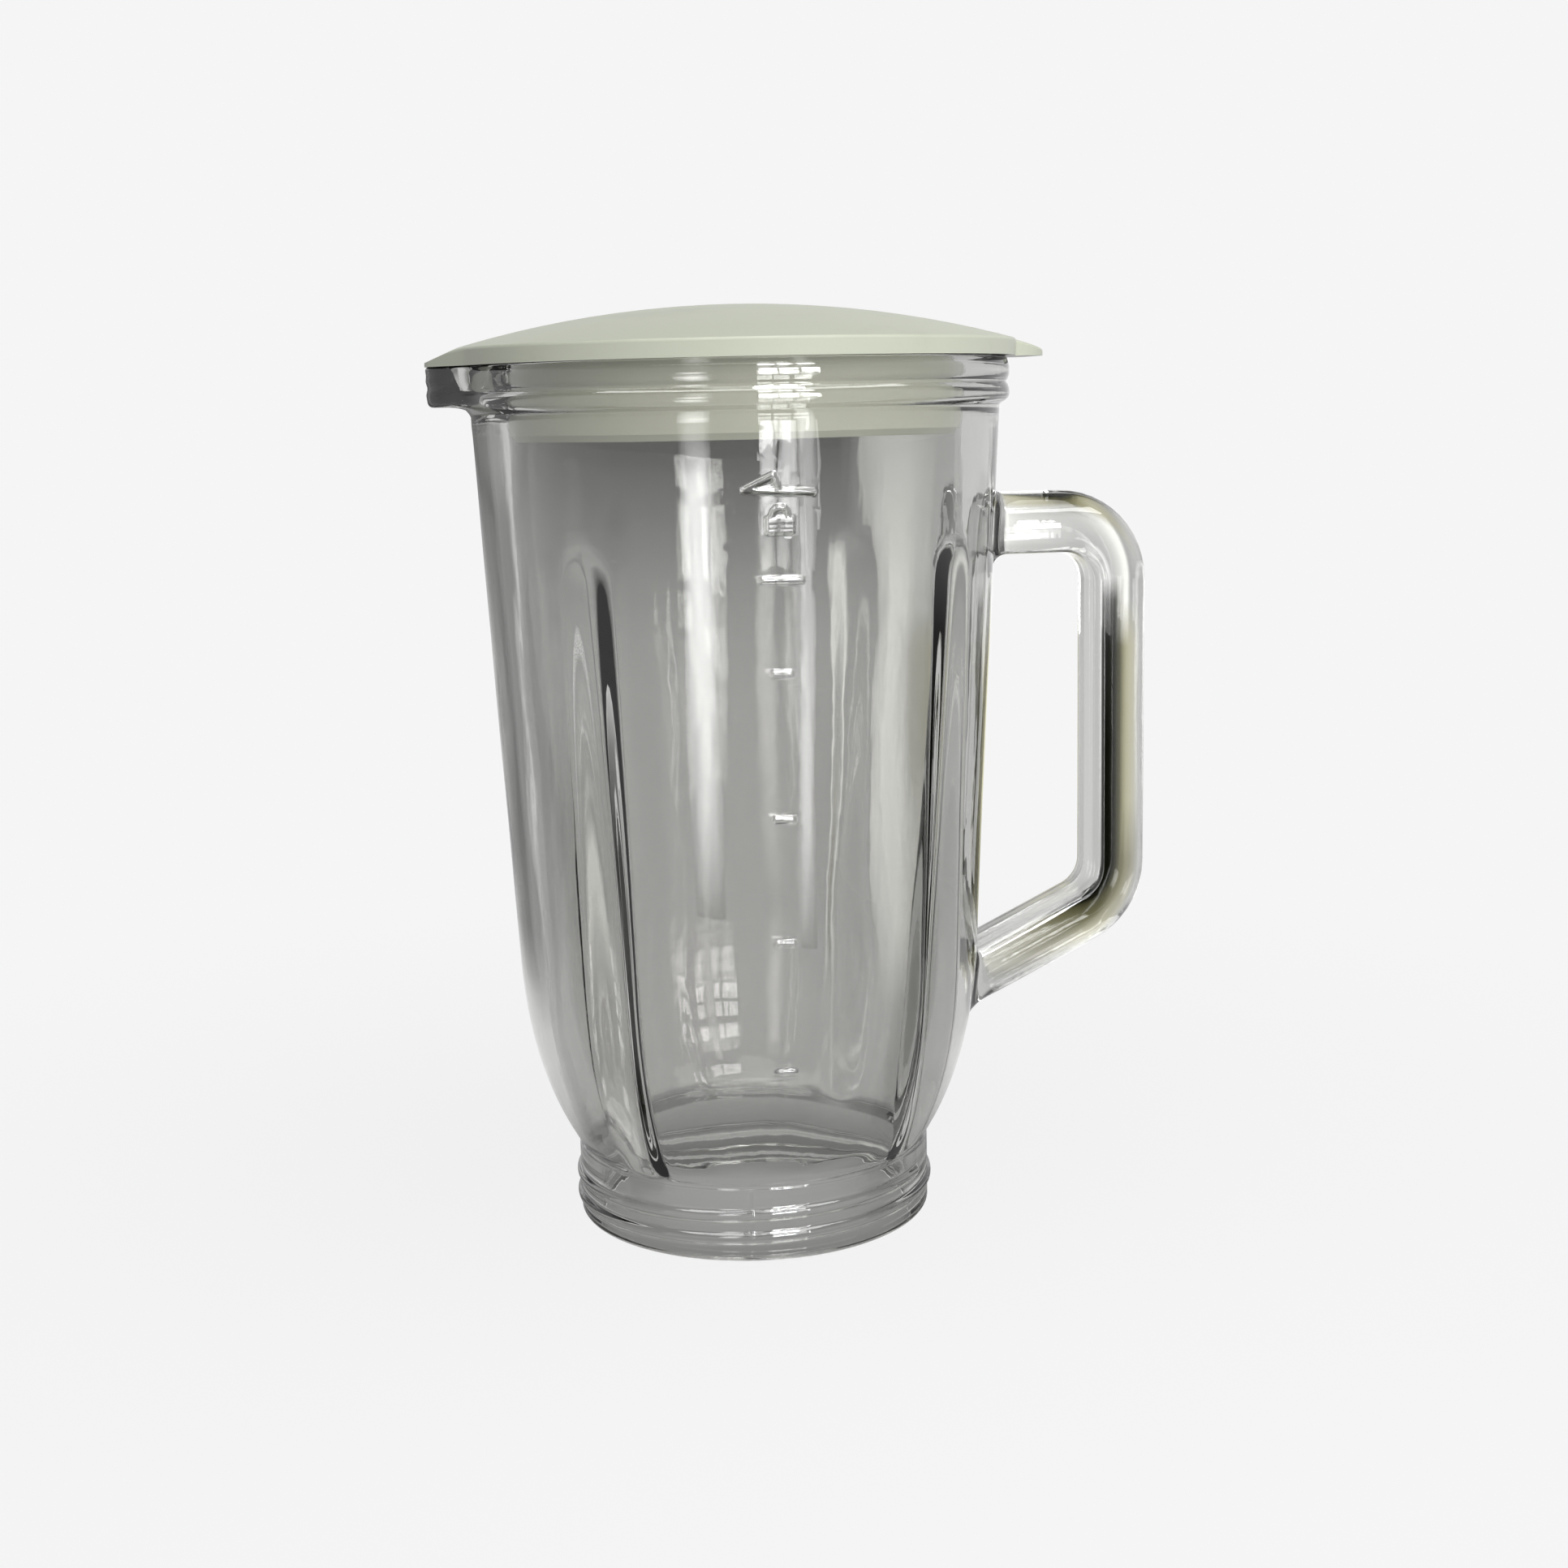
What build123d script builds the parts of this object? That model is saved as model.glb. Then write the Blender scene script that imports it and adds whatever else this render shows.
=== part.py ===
from build123d import *
from math import cos, radians, sin, sqrt, tan
import os

# A clear pressed-glass blender jar with its press-in plastic lid, in millimetres.
# +Z is up, the origin is on the jar's axis at its foot, the handle points to +X,
# the pouring lip to -X and the measuring scale to -Y.

# Collar at the foot, which screws into the cutter base
collar_radius = 41.3
collar_height = 17.4
bore_radius = 36.6
bore_depth = 16.7
foot_round = 1.2
neck_notch = 0.5

# Coarse thread round the collar
thread_pitch = 5.2
thread_turns = 1.9
thread_start = 1.9
thread_bead_radius = 1.7
thread_proud = 0.9

# Glass wall: heights from the foot, angles from the vertical
jar_height = 197.0
mouth_radius = 51.7
mouth_wall = 7.6
outer_draft = 2.7
inner_draft = 1.7
curve_height = 62.0
outer_top_pull = 20.0
outer_foot_pull = 12.5
outer_foot_angle = 32.0
inner_top_pull = 18.0
inner_foot_pull = 12.0
inner_foot_angle = 36.0

# Double-beaded rim
rim_band = 10.6
rim_slope = 3.4
rim_proud = 2.2
rim_groove = 0.5
rim_round = 0.8
mouth_round = 1.2

# Pouring lip drawn out of the rim
spout_reach = 7.4
spout_tip_round = 6.0
spout_height = 8.8
spout_edge = 1.5
spout_set_in = 1.3
spout_root = 20.5
channel_radius = 14.0
channel_slope = 38.0
lip_wall = 4.6

# Four mixing ribs on the inside of the wall
rib_count = 4
rib_width = 13.4
rib_edge = 4.0
rib_drop = 40.0

# Handle: one bar, flat towards the jar and round on its outer side
handle_width = 15.4
handle_flat = 6.5
handle_edge = 2.5
finger_gap = 23.7
handle_drop = 38.5
elbow_height = 68.6
handle_bend = 13.5
lower_arm_angle = 25.0
root_fillet = 3.0

# Lid
lid_overhang = 1.4
lid_wall = 2.5
dome_rise = 12.5
skirt_depth = 16.3
skirt_wall = 2.2
skirt_chamfer = 1.4
skirt_clearance = 0.35
seat_width = 4.2
lid_edge = 0.7
edge_height = 3.7
beak_tip = 0.9
tab_reach = 7.5
tab_width = 24.0
tab_corner = 7.0
tab_blend = 1.0
beak_blend = 12.0


def turned(outline):
    """Solid of revolution from a closed outline of radius and height."""
    return revolve(Plane.XZ * make_face(outline), Axis.Z)


def slanted(angle, length):
    """Step that leans outwards by an angle from the vertical."""
    return Vector(length * sin(radians(angle)), length * cos(radians(angle)))


# Glass: outside of the wall
body_top_radius = mouth_radius + mouth_wall
rim_radius = body_top_radius + rim_proud
band_bottom = jar_height - rim_band
outer_curve_radius = body_top_radius - (band_bottom - curve_height) * tan(radians(outer_draft))
neck_radius = collar_radius - neck_notch

outer_curve_top = Vector(outer_curve_radius, curve_height)
neck_point = Vector(neck_radius, collar_height)
bead_radius = rim_radius - rim_groove
bead_bottom = band_bottom + rim_slope
bead_top = jar_height - rim_round
bead_middle = (bead_bottom + bead_top) / 2
corner = rim_round * (1 - sqrt(0.5))
foot_corner = foot_round * (1 - sqrt(0.5))

outside = Polyline((0, jar_height), (0, 0), (collar_radius - foot_round, 0))
outside += ThreePointArc(
    (collar_radius - foot_round, 0),
    (collar_radius - foot_corner, foot_corner),
    (collar_radius, foot_round),
)
outside += Polyline((collar_radius, foot_round), (collar_radius, collar_height - neck_notch), neck_point)
outside += Bezier(
    neck_point,
    neck_point + slanted(outer_foot_angle, outer_foot_pull),
    outer_curve_top - slanted(outer_draft, outer_top_pull),
    outer_curve_top,
)
outside += Polyline(outer_curve_top, (body_top_radius, band_bottom), (bead_radius, bead_bottom))
for bottom, top in ((bead_bottom, bead_middle), (bead_middle, bead_top)):
    outside += ThreePointArc(
        (bead_radius, bottom), (rim_radius, (bottom + top) / 2), (bead_radius, top)
    )
outside += ThreePointArc(
    (bead_radius, bead_top),
    (bead_radius - corner, jar_height - corner),
    (bead_radius - rim_round, jar_height),
)
outside += Line((bead_radius - rim_round, jar_height), (0, jar_height))
glass = turned(outside)

# Glass: handle bar swept along its bent line and faired into the wall
grip_line = body_top_radius + finger_gap + handle_flat
arm_height = jar_height - handle_drop
half_bar = handle_width / 2
root = collar_radius
root_drop = (grip_line - root) * tan(radians(lower_arm_angle))
bar_path = FilletPolyline(
    (root, 0, arm_height),
    (grip_line, 0, arm_height),
    (grip_line, 0, elbow_height),
    (root, 0, elbow_height - root_drop),
    radius=handle_bend,
)
bar_side = Polyline(
    (-half_bar, 0), (-half_bar, -handle_flat), (half_bar, -handle_flat), (half_bar, 0)
)
bar_outline = bar_side + ThreePointArc((half_bar, 0), (0, half_bar), (-half_bar, 0))
bar_section = make_face(bar_outline)
bar_section = fillet(bar_section.vertices().group_by(Axis.Y)[0], handle_edge)
bar_plane = Plane((root, 0, arm_height), x_dir=(0, 1, 0), z_dir=(1, 0, 0))
handle = sweep(bar_plane * bar_section, path=bar_path)
body = glass
glass = body + handle
glass = fillet(new_edges(body, handle, combined=glass), root_fillet)

# Glass: pouring lip
spout_tip = rim_radius + spout_reach
spout_bottom = jar_height - spout_height


def nose_plan(radius):
    """Plan of a rounded point that leaves a circle at the lip's root and ends at the lip's tip."""
    root_reach = sqrt((radius - spout_set_in) ** 2 - spout_root**2)
    root_depth = root_reach - mouth_radius
    root_plan = Pos(-(mouth_radius + root_depth / 2), 0) * Rectangle(root_depth, 2 * spout_root)
    tip_plan = Pos(-(spout_tip - spout_tip_round), 0) * Circle(spout_tip_round)
    return make_hull(root_plan.edges() + tip_plan.edges())


lip = Pos(0, 0, spout_bottom) * extrude(nose_plan(rim_radius), spout_height)
lip = fillet(lip.edges().group_by(Axis.Z)[0], spout_edge)
lip = fillet(lip.edges().group_by(Axis.Z)[-1], rim_round)
glass += lip

# Glass: thread bead wound round the collar, with rounded ends
thread_line_radius = collar_radius + thread_proud - thread_bead_radius
thread_line = Helix(
    thread_pitch, thread_pitch * thread_turns, thread_line_radius, center=(0, 0, thread_start)
)
bead_plane = Plane(thread_line @ 0, x_dir=(0, 0, 1), z_dir=thread_line % 0)
thread = sweep(bead_plane * Circle(thread_bead_radius), path=thread_line, is_frenet=True)
glass += thread
for end in (thread_line @ 0, thread_line @ 1):
    glass += Pos(end) * Sphere(thread_bead_radius)

# Glass: hollow, with the ribs left standing on its wall
inner_curve_radius = mouth_radius - (jar_height - curve_height) * tan(radians(inner_draft))
bore_point = Vector(bore_radius, bore_depth)
inner_curve_top = Vector(inner_curve_radius, curve_height)
flare = mouth_round * (1 - sqrt(0.5))
inside = Polyline((0, jar_height), (0, 0), (bore_radius, 0), bore_point)
inside += Bezier(
    bore_point,
    bore_point + slanted(inner_foot_angle, inner_foot_pull),
    inner_curve_top - slanted(inner_draft, inner_top_pull),
    inner_curve_top,
)
inside += Line(inner_curve_top, (mouth_radius, jar_height - mouth_round))
inside += ThreePointArc(
    (mouth_radius, jar_height - mouth_round),
    (mouth_radius + flare, jar_height - flare),
    (mouth_radius + mouth_round, jar_height),
)
inside += Line((mouth_radius + mouth_round, jar_height), (0, jar_height))
hollow = turned(inside)

rib_top = jar_height - rib_drop
rib_top_radius = mouth_radius - rib_drop * tan(radians(inner_draft))
rib_rise = Vector(rib_top_radius - bore_radius, 0, rib_top - bore_depth)
rib_depth = mouth_radius
rib_plane = Plane((bore_radius, 0, bore_depth), x_dir=(0, 1, 0), z_dir=rib_rise)
rib_section = Pos(0, -rib_depth / 2) * Rectangle(rib_width, rib_depth)
rib_section = fillet(rib_section.vertices().group_by(Axis.Y)[-1], rib_edge)
rib = extrude(rib_plane * rib_section, rib_rise.length + rib_width)
for place in PolarLocations(0, rib_count, start_angle=180 / rib_count):
    hollow -= place * rib
glass -= hollow
glass -= Cylinder(bore_radius, bore_depth, align=(Align.CENTER, Align.CENTER, Align.MIN))

# Glass: channel through the rim to the tip of the pouring lip
channel_axis = Vector(-cos(radians(channel_slope)), 0, sin(radians(channel_slope)))
channel_back = channel_radius / sin(radians(channel_slope))
channel_top = Vector(channel_back - (spout_tip - lip_wall), 0, jar_height)
channel_length = 2 * mouth_radius
channel_plane = Plane(channel_top, x_dir=(0, 1, 0), z_dir=channel_axis)
channel = channel_plane * Cylinder(channel_radius, channel_length)
glass -= channel

# Lid: plan of the flange with its beak over the pouring lip and its lifting tab over the handle
flange_radius = rim_radius + lid_overhang
tab_length = flange_radius + tab_reach
tab_plan = Pos(tab_length / 2, 0) * Rectangle(tab_length, tab_width)
tab_plan = fillet(tab_plan.vertices().group_by(Axis.X)[-1], tab_corner)
flange_plan = Circle(flange_radius) + nose_plan(flange_radius) + tab_plan


def rim_corners(plan, side):
    """Corners of the plan on the flange's circle: side -1 has the beak's, side 1 the tab's."""
    corners = plan.vertices().filter_by(lambda v: v.X * side > 0)
    return corners.filter_by(lambda v: abs(Vector(v).length - flange_radius) < 0.01)


flange_plan = fillet(rim_corners(flange_plan, -1), beak_blend)
flange_plan = fillet(rim_corners(flange_plan, 1), tab_blend)

# Lid: spherical dome, flat seat on the rim and plug skirt inside the mouth
dome_top = jar_height + dome_rise
dome_drop = dome_rise - edge_height
dome_radius = (flange_radius**2 + dome_drop**2) / (2 * dome_drop)


def dome_height(radius, depth=0.0):
    """Height of the dome's surface, or of one that lies deeper by an even thickness."""
    return dome_top - dome_radius + sqrt((dome_radius - depth) ** 2 - radius**2)


lid = Pos(0, 0, jar_height) * extrude(flange_plan, dome_rise + lid_wall)
lid &= Pos(0, 0, dome_top - dome_radius) * Sphere(dome_radius)
lid = fillet(lid.faces().sort_by(Axis.Z)[-1].edges(), lid_edge)

beak_root = flange_radius - spout_set_in
beak_cut = make_face(
    Polyline(
        (-beak_root, dome_height(beak_root)),
        (-spout_tip, jar_height + beak_tip),
        (-spout_tip - lid_wall, jar_height + beak_tip),
        (-spout_tip - lid_wall, dome_top),
        (-beak_root, dome_height(beak_root)),
    )
)
lid -= extrude(Plane.XZ * beak_cut, flange_radius, both=True)

seat_radius = rim_radius - seat_width
underside = Polyline(
    (0, dome_top - lid_wall),
    (0, jar_height),
    (seat_radius, jar_height),
    (seat_radius, dome_height(seat_radius, lid_wall)),
)
underside += ThreePointArc(
    (seat_radius, dome_height(seat_radius, lid_wall)),
    (seat_radius / 2, dome_height(seat_radius / 2, lid_wall)),
    (0, dome_top - lid_wall),
)
lid -= turned(underside)

skirt_radius = mouth_radius - skirt_clearance
skirt_bottom = jar_height - skirt_depth
skirt_foot_radius = skirt_radius - skirt_depth * tan(radians(inner_draft))
skirt_top = dome_height(skirt_radius, lid_wall / 2)
skirt = Polyline(
    (skirt_radius, skirt_top),
    (skirt_radius, jar_height),
    (skirt_foot_radius, skirt_bottom + skirt_chamfer),
    (skirt_foot_radius - skirt_chamfer, skirt_bottom),
    (skirt_foot_radius - skirt_wall, skirt_bottom),
    (skirt_radius - skirt_wall, jar_height),
    (skirt_radius - skirt_wall, skirt_top),
    (skirt_radius, skirt_top),
)
lid += turned(skirt)

os.makedirs("parts", exist_ok=True)
export_step(glass, "parts/glass_jar.step")
export_step(lid, "parts/lid.step")
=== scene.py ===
from math import asin, atan2, cos, degrees, hypot, pi, radians, sin, sqrt, tan

import bpy
import numpy as np
from mathutils import Matrix, Vector


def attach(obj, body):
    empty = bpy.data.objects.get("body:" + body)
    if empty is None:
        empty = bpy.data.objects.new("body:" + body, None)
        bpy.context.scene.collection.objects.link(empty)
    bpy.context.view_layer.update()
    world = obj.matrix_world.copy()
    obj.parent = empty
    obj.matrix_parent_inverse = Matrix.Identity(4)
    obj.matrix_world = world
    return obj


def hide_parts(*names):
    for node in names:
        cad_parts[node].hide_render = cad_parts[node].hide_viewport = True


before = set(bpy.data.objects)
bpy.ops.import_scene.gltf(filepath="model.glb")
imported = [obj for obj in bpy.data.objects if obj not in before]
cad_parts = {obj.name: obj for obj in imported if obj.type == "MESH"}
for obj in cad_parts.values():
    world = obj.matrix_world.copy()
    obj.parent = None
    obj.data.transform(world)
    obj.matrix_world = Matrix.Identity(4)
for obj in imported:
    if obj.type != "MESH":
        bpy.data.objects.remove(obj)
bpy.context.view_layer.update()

# ---------------------------------------------------------------------------------------------
# Jar: a heavy jug of clear soda-lime glass for about a litre, pressed in one piece with its
# handle in a mould that opens in two halves. The wall grows thicker towards the collar, which
# is threaded outside and screws down into a base. Sizes are in mm, as in the solid.

jar_height = 197.0
mouth_radius = 51.7
mouth_wall = 7.6
top_radius = mouth_radius + mouth_wall
outer_draft = radians(2.7)
inner_draft = radians(1.7)
curve_height = 62.0
rim_band = 10.6
rim_proud = 2.2
band_bottom = jar_height - rim_band
rim_radius = top_radius + rim_proud


def smooth(low, high, x):
    """0 below low, 1 above high, with a soft rise between them."""
    t = np.clip((x - low) / (high - low), 0, 1)
    return t * t * (3 - 2 * t)


def soft_max(a, b, width):
    """The larger of two values, rounded over where they are closer than width."""
    h = np.clip(0.5 + 0.5 * (a - b) / width, 0, 1)
    return a * h + b * (1 - h) + width * h * (1 - h)


def line(start, end, count):
    """Points along a straight line."""
    t = np.linspace(0, 1, count)[:, None]
    return (1 - t) * np.array(start, float) + t * np.array(end, float)


def arc(centre, radius, first, last, count):
    """Points along an arc between two angles in degrees."""
    a = np.radians(np.linspace(first, last, count))
    return np.stack([centre[0] + radius * np.cos(a), centre[1] + radius * np.sin(a)], 1)


def bezier(start, start_pull, end_pull, end, count):
    """Points along a curve that leaves towards one pull and arrives from the other."""
    t = np.linspace(0, 1, count)[:, None]
    leaving = (1 - t) ** 3 * start + 3 * (1 - t) ** 2 * t * start_pull
    return leaving + 3 * (1 - t) * t**2 * end_pull + t**3 * end


def leaning(angle, length):
    """A step of this length, (out, up), that leans out from upright by an angle."""
    return np.array([length * sin(angle), length * cos(angle)])


# The mesh is a grid: a column for each angle, and a row for each station of the wall's section.
# Over each of the four ribs the columns keep their place across it, and between ribs they spread.
rib_angles = np.radians([-42.5, 45, 135, 222.5])
rib_places = np.array([0, 0.6, 1.2, 1.8, 2.4, 3.0, 3.6, 4.2, 4.8, 5.4, 6.0, 6.6, 7.2, 7.8, 9.0])
rib_places = np.concatenate([-rib_places[:0:-1], rib_places])
rib_column_radius = 48.0
rib_edge = asin(rib_places[-1] / rib_column_radius)
gap_columns = 34
columns = []
for i, rib_angle in enumerate(rib_angles):
    rib_gap = (rib_angles[(i + 1) % len(rib_angles)] - rib_angle) % (2 * pi)
    for place in rib_places:
        columns.append((rib_angle + asin(place / rib_column_radius), rib_angle, rib_gap, place, None))
    for step in range(1, gap_columns):
        share = step / gap_columns
        between = rib_angle + rib_edge + (rib_gap - 2 * rib_edge) * share
        columns.append((between, rib_angle, rib_gap, None, share))
column_angle = np.array([column[0] for column in columns])
column_count = len(columns)
rows = []


def add_rows(radius, height, angle=column_angle):
    """Adds rows of the grid: the radius, height and angle of each of their points."""
    shape = (len(radius), column_count)
    rows.append([np.broadcast_to(value, shape).astype(float) for value in (radius, height, angle)])


# Outside: the foot, the collar with its thread, the round belly and the straight wall
collar_radius = 41.3
collar_height = 17.4
bore_radius = 36.6
bore_depth = 16.7
bore_round = 0.6
foot_round = 1.2
neck_notch = 0.5
outer_pulls = (12.5, 20.0)
outer_foot_angle = radians(32)
neck = np.array([collar_radius - neck_notch, collar_height])
curve_top = np.array([top_radius - (band_bottom - curve_height) * tan(outer_draft), curve_height])
foot = np.concatenate([
    line((bore_radius + bore_round, 0), (collar_radius - foot_round, 0), 5)[:-1],
    arc((collar_radius - foot_round, foot_round), foot_round, -90, 0, 6)[:-1],
])
collar = line((collar_radius, foot_round), (collar_radius, collar_height - neck_notch), 45)
belly = bezier(neck, neck + leaning(outer_foot_angle, outer_pulls[0]),
               curve_top - leaning(outer_draft, outer_pulls[1]), curve_top, 26)
straight = line(curve_top, (top_radius, band_bottom), 52)[1:-1]
outside = np.concatenate([foot, collar, belly, straight])
outside_count = len(outside)
collar_end = len(foot) + len(collar)

thread_pitch = 5.2
thread_turns = 1.9
thread_start = 1.9
thread_bead = 1.7
thread_proud = 0.9
thread_blend = 0.25
outside_z = outside[:, 1:] + np.zeros(column_count)
crown = np.zeros_like(outside_z)
for wind in range(2):
    turns = (column_angle % (2 * pi)) / (2 * pi) + wind
    past_end = np.maximum(turns - thread_turns, 0) * 2 * pi * collar_radius
    off = np.hypot(outside_z - (thread_start + thread_pitch * turns), past_end)
    bead_height = np.sqrt(np.maximum(thread_bead**2 - off**2, 0))
    crown = np.maximum(crown, bead_height - (thread_bead - thread_proud))
on_collar = np.zeros((outside_count, 1), bool)
on_collar[len(foot) + 1:collar_end] = True
thread = soft_max(crown, 0 * crown, thread_blend) - thread_blend / 4
add_rows(outside[:, :1] + np.where(on_collar, thread, 0), outside_z)

# Rim: two round beads with a groove between them, drawn out at the left into the pouring lip
groove_height = 191.4
groove_depth = 0.8
edge_depth = 0.5
rim_round = 0.8
bead_top = jar_height - rim_round
bead_fullness = 2.5


def bead(bottom, top, low_depth, high_depth, count):
    """A bead's section, which falls away below and above its widest line."""
    t = np.linspace(-1, 1, count)[:-1]
    fall = np.where(t < 0, low_depth, high_depth) * np.abs(t) ** bead_fullness
    return np.stack([rim_radius - fall, bottom + (top - bottom) * (t + 1) / 2], 1)


band = np.concatenate([
    bead(band_bottom, groove_height, rim_proud, groove_depth, 15),
    bead(groove_height, bead_top, groove_depth, edge_depth, 10),
    arc((rim_radius - edge_depth - rim_round, bead_top), rim_round, 0, 90, 5),
])
spout_reach = 7.4
spout_tip_round = 6.0
spout_height = 8.8
spout_edge = 1.5
spout_set_in = 1.3
spout_root = 20.5
spout_corner = 0.6
lip_blend = 0.9
spout_tip = rim_radius + spout_reach
spout_bottom = jar_height - spout_height

# The lip's section at its tip: it leaves the wall in a small corner, runs out flat and turns up
nose = np.concatenate([
    line((top_radius - 0.1, band_bottom - spout_corner),
         (top_radius + 0.5, spout_bottom - spout_corner), 3)[:-1],
    line((top_radius + 1.3, spout_bottom), (spout_tip - spout_edge, spout_bottom), 6)[:-1],
    arc((spout_tip - spout_edge, spout_bottom + spout_edge), spout_edge, -90, 0, 6)[:-1],
    line((spout_tip, spout_bottom + spout_edge), (spout_tip, bead_top), 12)[:-1],
    arc((spout_tip - rim_round, bead_top), rim_round, 0, 90, 5),
])

# From above, each side of the lip runs straight from the rim until it meets the round tip
root_reach = sqrt((rim_radius - spout_set_in) ** 2 - spout_root**2)
tip_centre = spout_tip - spout_tip_round
to_tip = (tip_centre - root_reach, -spout_root)
tangent = atan2(to_tip[1], to_tip[0]) + asin(spout_tip_round / hypot(*to_tip)) + pi / 2
tip_arc = arc((tip_centre, 0), spout_tip_round, degrees(tangent), 0, 24)
lip_plan = np.concatenate([line((root_reach, spout_root), tip_arc[0], 40)[:-1], tip_arc])
lip_angle = np.arctan2(lip_plan[:, 1], lip_plan[:, 0])
lip_radius = np.hypot(lip_plan[:, 0], lip_plan[:, 1])
from_lip = np.abs(column_angle % (2 * pi) - pi)
lip_line = np.interp(from_lip, lip_angle[::-1], lip_radius[::-1], right=0)
drawn_out = soft_max(lip_line, np.full(column_count, rim_radius), lip_blend) - rim_radius
lip_share = np.clip(drawn_out / spout_reach, 0, 1)

# Folds in the lip, up to 0.3 mm deep, where the glass chilled as it was drawn out. They sway from
# side to side and fade out at its top and bottom.
fold_pitch = 3.1
fold_depth = 0.16
sway = 1.6
sway_length = 11.0
sway_start = 0.4
rim_z = band[:, 1:] * (1 - lip_share) + nose[:, 1:] * lip_share
up_lip = np.clip((rim_z - spout_bottom) / (bead_top - spout_bottom), 0, 1)
swayed = sway * np.sin(2 * pi * spout_tip * from_lip / sway_length + sway_start)
folds = np.sin(2 * pi * rim_z / fold_pitch + swayed)
sunk = fold_depth * lip_share * np.sin(pi * up_lip) * (1 + folds)
add_rows(band[:, :1] * (1 - lip_share) + nose[:, :1] * lip_share - sunk, rim_z)

# Mouth: flat on top, with a channel that slopes up through the wall to the lip
mouth_round = 1.2
channel_radius = 14.0
channel_slope = radians(38)
channel_blend = 0.6
lip_wall = 4.6
thinnest_lip = 1.0
mouth_step = 0.5
inside_top = 181.5
channel_long = channel_radius / sin(channel_slope)
channel_back = spout_tip - lip_wall - channel_long


def mouth_wall_radius(z):
    """Radius of the inside, above where it curves in."""
    return mouth_radius - (jar_height - z) * tan(inner_draft)


def channel_reach(z):
    """How far from the axis the channel is open at each column, or 0 where it isn't."""
    middle = channel_back - (jar_height - z) / tan(channel_slope)
    c, s = np.cos(column_angle - pi), np.sin(column_angle - pi)
    a = c**2 / channel_long**2 + s**2 / channel_radius**2
    b = middle * c / channel_long**2
    k = b**2 - a * (middle**2 / channel_long**2 - 1)
    return np.where((k > 0) & (c > 0), (b + np.sqrt(np.maximum(k, 0))) / a, 0)


outer_edge = rows[-1][0][-1]
inner_edge = soft_max(channel_reach(jar_height), np.full(column_count, mouth_radius), channel_blend)
inner_edge = np.minimum(inner_edge + mouth_round, outer_edge - thinnest_lip)
across = np.linspace(0, 1, 7)[1:, None]
add_rows(outer_edge * (1 - across) + inner_edge * across, jar_height)
round_bottom = jar_height - mouth_round
mouth_z = np.concatenate([
    round_bottom + mouth_round * np.sin(np.radians(np.linspace(90, 0, 6)))[1:],
    np.arange(round_bottom - mouth_step, inside_top + mouth_step, -mouth_step),
])[:, None]
rise = np.clip(mouth_z - round_bottom, 0, mouth_round)
mouth = soft_max(channel_reach(mouth_z), mouth_wall_radius(mouth_z) + np.zeros(column_count), channel_blend)
mouth = mouth + mouth_round - np.sqrt(mouth_round**2 - rise**2)
add_rows(np.minimum(mouth, outer_edge - thinnest_lip), mouth_z)

# Inside: the wall with its ribs, which are nothing near the top and deep at the bottom, and the bore
rib_drop = 39.0
rib_top_depth = 0.9
rib_end = 6.7
rib_crest_half = 0.4
rib_foot_half = 6.9
inner_pulls = (12.0, 18.0)
inner_foot_angle = radians(36)
bore_edge = 0.4
bore_top = np.array([bore_radius, bore_depth])
inner_top = np.array([mouth_wall_radius(curve_height), curve_height])
inside = np.concatenate([
    line((mouth_wall_radius(inside_top), inside_top), inner_top, 50)[:-1],
    bezier(bore_top, bore_top + leaning(inner_foot_angle, inner_pulls[0]),
           inner_top - leaning(inner_draft, inner_pulls[1]), inner_top, 30)[::-1],
    line((bore_radius, bore_depth - bore_edge), (bore_radius, bore_round), 8),
    arc((bore_radius + bore_round, bore_round), bore_round, 180, 270, 4)[1:-1],
])
wall, wall_z = inside.T
rib_top = jar_height - rib_drop
crest_top = mouth_wall_radius(rib_top) - rib_top_depth
crest = bore_radius + (crest_top - bore_radius) * (wall_z - bore_depth) / (rib_top - bore_depth)
rib_depth = np.where(wall_z > bore_depth, np.maximum(wall - crest, 0), 0)
past_top = np.maximum(wall_z - (rib_top - rib_end), 0)
spread = np.arcsin(rib_places[-1] / wall)
inside_radius = np.zeros((len(inside), column_count))
inside_angle = np.zeros_like(inside_radius)
for j, (_, rib_angle, rib_gap, place, share) in enumerate(columns):
    if place is None:
        inside_radius[:, j] = wall
        inside_angle[:, j] = rib_angle + spread + (rib_gap - 2 * spread) * share
    else:
        ridge = rib_depth * (1 - smooth(rib_crest_half, rib_foot_half, np.hypot(place, past_top)))
        out = np.sqrt(wall**2 - place**2) - ridge
        inside_radius[:, j] = np.hypot(out, place)
        inside_angle[:, j] = rib_angle + np.arctan2(place, out)
add_rows(inside_radius, wall_z[:, None], inside_angle)

# Pressed glass is never quite even: both faces ripple by a few hundredths of a millimetre, in
# broad waves, five round the jar, and narrow ones, eleven round it
broad_ripple = 0.05
narrow_ripple = 0.035
inner_ripple = -0.9
ripple_bottom = 22
ripple_top = 183
grid_radius, grid_z, grid_angle = (np.concatenate(part) for part in zip(*rows))
row_count = len(grid_radius)
ripple = broad_ripple * np.sin(5 * grid_angle + 0.045 * grid_z) * np.sin(0.11 * grid_z + 1.3)
ripple = ripple + narrow_ripple * np.sin(11 * grid_angle - 0.06 * grid_z + 0.7)
ripple[outside_count + len(band):] *= inner_ripple
grid_radius = grid_radius + np.where((grid_z > ripple_bottom) & (grid_z < ripple_top), ripple, 0)

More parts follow.
